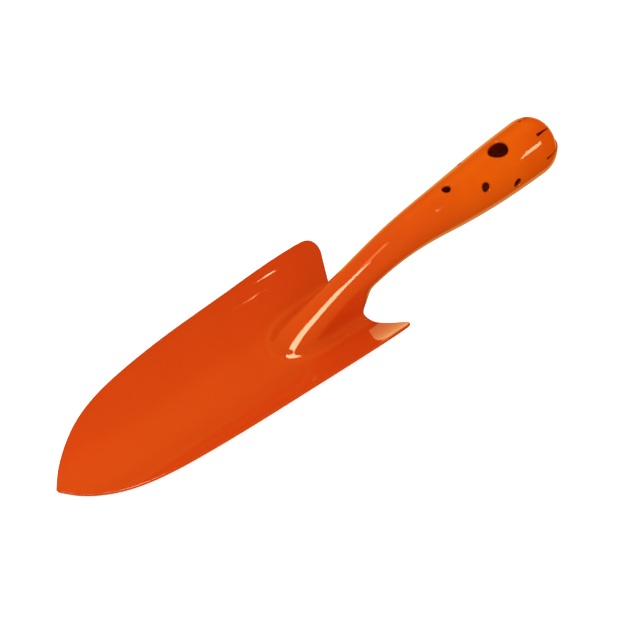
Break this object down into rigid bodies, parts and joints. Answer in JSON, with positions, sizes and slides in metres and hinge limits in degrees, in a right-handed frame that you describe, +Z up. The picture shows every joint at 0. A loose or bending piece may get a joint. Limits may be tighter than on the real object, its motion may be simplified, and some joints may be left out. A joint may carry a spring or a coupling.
{
  "type": "hand trowel",
  "caption": "Hand trowel pressed and rolled from one steel sheet: pointed trough blade, raised ridge running into a hollow handle with a hang hole and a folded end.",
  "frame": {"origin": "under the middle of the trowel's bounding box, on the surface that the blade's belly lies on", "axes": "+X runs along the trowel to the blade's tip, +Y across the blade, +Z up out of the open side of the trough"},
  "size_m": [0.2962, 0.0754, 0.049],
  "materials": {
    "orange_enamel": "gloss"
  },
  "bodies": {
    "root": {"blade": "orange_enamel", "neck": "orange_enamel", "handle_tube": "orange_enamel", "end_petal_1": "orange_enamel", "end_petal_2": "orange_enamel", "end_petal_3": "orange_enamel", "end_petal_4": "orange_enamel", "end_petal_5": "orange_enamel", "end_petal_6": "orange_enamel", "end_petal_7": "orange_enamel"}
  },
  "joints": []
}
